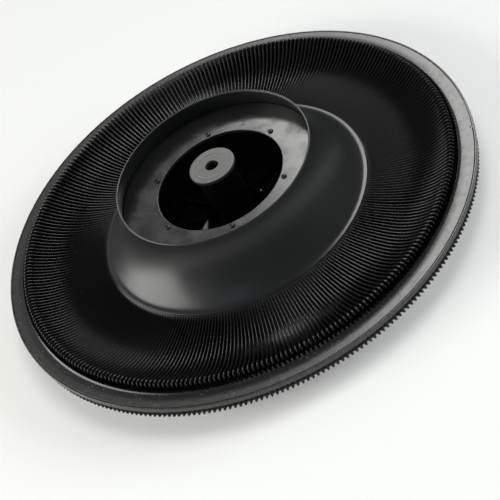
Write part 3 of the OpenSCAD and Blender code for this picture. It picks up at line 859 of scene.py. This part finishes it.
finishes = {   # for the parts whose own meshes are shown
    # the post and the web in the well take the painted-shade plastic
    "centre_post": wellShadeFinish, "web_plate": wellShadeFinish,
    "post_screws": steelFinish, "sector_screws": steelFinish, "rim_screws": steelFinish,
    "upper_bush": bronzeFinish, "lower_bush": bronzeFinish, "thrust_washer": bronzeFinish,
    "bearing_base": baseFinish, "spindle_sleeve": steelFinish,
    "shim_washer": steelFinish, "retaining_ring": steelFinish,
}
for node, finish in finishes.items():
    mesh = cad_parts[node].data
    mesh.materials.clear()
    mesh.materials.append(finish)
print("stage: inner parts finished")

studio = {
    "floorSize": 8, "floorColour": rgb(0.90, 0.90, 0.885), "floorRoughness": 0.85,
    "floorGlow": rgb(0.915, 0.92, 0.90), "glowShare": 0.22,   # only the camera sees the glow
    "skyColour": rgb(0.97, 0.99, 1.0),
    # world light behind the camera, overhead, and beyond the part from the horizon upwards
    "skyNear": 0.16, "nearFrom": -0.7, "nearTo": -0.1,
    "skyTop": 0.15, "topFrom": 0.6, "topTo": 0.9,
    "skyLow": 0.14, "skyFar": 0.45, "farFrom": 0.25, "farTo": 0.5,
}
panels = {   # lamps that show only as reflections, or that only light what is matt
    "windowLeft": {"azimuth": 345, "elevation": 21, "distance": 1.9,
                   "width": 1.65, "height": 1.5, "level": 5.3,
                   "colour": (1.0, 0.985, 0.95), "lights": "glossy"},
    "windowBack": {"azimuth": 248.0, "elevation": 44.7, "roll": 20, "distance": 1.9,
                   "width": 0.88, "height": 0.78, "level": 8.3,
                   "colour": (1.0, 0.99, 0.97), "lights": "glossy"},
    "skylight": {"azimuth": 50, "elevation": 48, "distance": 1.9,
                 "width": 0.16, "height": 0.16, "level": 7.0,
                 "colour": (0.6, 0.8, 1.0), "lights": "glossy"},
    "softLeft": {"azimuth": 8, "elevation": 22, "distance": 2.2,
                 "width": 1.6, "height": 1.2, "level": 7.4,
                 "colour": (1.0, 0.995, 0.95), "lights": "diffuse"},
    "softRight": {"azimuth": 165, "elevation": 22, "distance": 2.2,
                  "width": 1.6, "height": 1.2, "level": 6.6,
                  "colour": (0.90, 0.96, 1.0), "lights": "diffuse"},
    "ceiling": {"azimuth": 185, "elevation": 80, "distance": 2.2,
                "width": 1.1, "height": 1.1, "level": 4.7,
                "colour": (1.0, 1.0, 0.985), "lights": "diffuse"},
}


def makePanel(name, d):   # level is the brightness of its face, whatever its size
    data = bpy.data.lights.new(name, "AREA")
    data.shape, data.size, data.size_y = "RECTANGLE", d["width"], d["height"]
    data.energy = d["level"] * math.pi * d["width"] * d["height"]
    data.color = d["colour"]
    thing = stand(name, data, d)
    thing.visible_diffuse = d["lights"] == "diffuse"
    thing.visible_glossy = d["lights"] == "glossy"


def makeFloor():
    d = studio
    half = d["floorSize"] / 2
    corners = [(-half, -half, 0), (half, -half, 0), (half, half, 0), (-half, half, 0)]
    mesh = bpy.data.meshes.new("floor")
    mesh.from_pydata(corners, [], [(0, 1, 2, 3)])
    material = bpy.data.materials.new("floorPaper")
    graph = Graph(material)
    sockets = {"Base Color": d["floorColour"], "Roughness": d["floorRoughness"]}
    paper = graph.node("ShaderNodeBsdfPrincipled", {}, sockets)
    glow = graph.node("ShaderNodeEmission", {}, [d["floorGlow"], 1])
    seen = graph.node("ShaderNodeLightPath", out="Is Camera Ray") * d["glowShare"]
    blend = graph.node("ShaderNodeMixShader", {}, [seen, paper, glow])
    graph.node("ShaderNodeOutputMaterial", {}, [blend])
    mesh.materials.append(material)
    floor = bpy.data.objects.new("floor", mesh)
    scene.collection.objects.link(floor)


def makeWorld():
    d = studio
    world = bpy.data.worlds.new("studioWorld")
    scene.world = world
    graph = Graph(world)
    ahead, up = graph.parts(graph.node("ShaderNodeTexCoord", out="Generated"))[1:]
    near = graph.step(ahead, d["nearFrom"], d["nearTo"])
    far = graph.step(up, d["farFrom"], d["farTo"]) * (d["skyFar"] - d["skyLow"]) + d["skyLow"]
    level = near * (d["skyNear"] - far) + far
    over = graph.step(up, d["topFrom"], d["topTo"])
    level = level * (1 - over) + over * d["skyTop"]
    sky = graph.node("ShaderNodeBackground", {}, [d["skyColour"], level])
    graph.node("ShaderNodeOutputWorld", {}, [sky])


makeFloor()
makeWorld()
for panel, settings in panels.items():
    makePanel(panel, settings)
print("stage: studio made")
